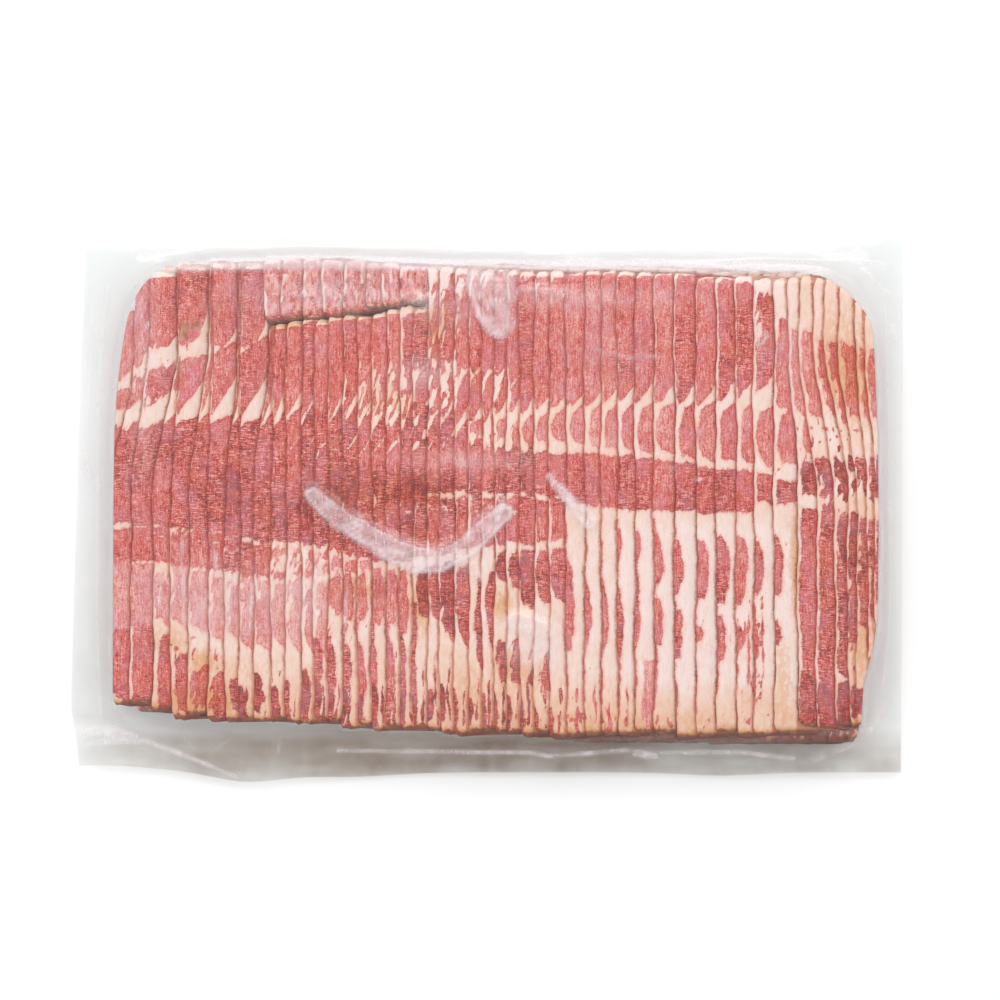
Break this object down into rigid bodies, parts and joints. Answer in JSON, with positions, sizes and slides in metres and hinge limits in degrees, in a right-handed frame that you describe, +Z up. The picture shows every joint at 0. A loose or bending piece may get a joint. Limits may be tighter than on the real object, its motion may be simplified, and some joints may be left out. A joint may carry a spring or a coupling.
{
  "type": "vacuum pack of sliced bacon",
  "caption": "Large clear vacuum pack of shingled streaky bacon lying flat, with a narrow film flange round a rectangular slab of overlapping slices.",
  "frame": {"origin": "centre of the bounding box in X and Y, on the plane the pack lies on", "axes": "+X along the pack, from slice to slice; +Y along the slices towards the pack's back edge; +Z up"},
  "size_m": [0.4176, 0.2748, 0.0265],
  "materials": {
    "vacuum_pack": "clear glossy film over red lean and cream fat"
  },
  "bodies": {
    "root": {"vacuum_pack": "vacuum_pack"}
  },
  "joints": []
}
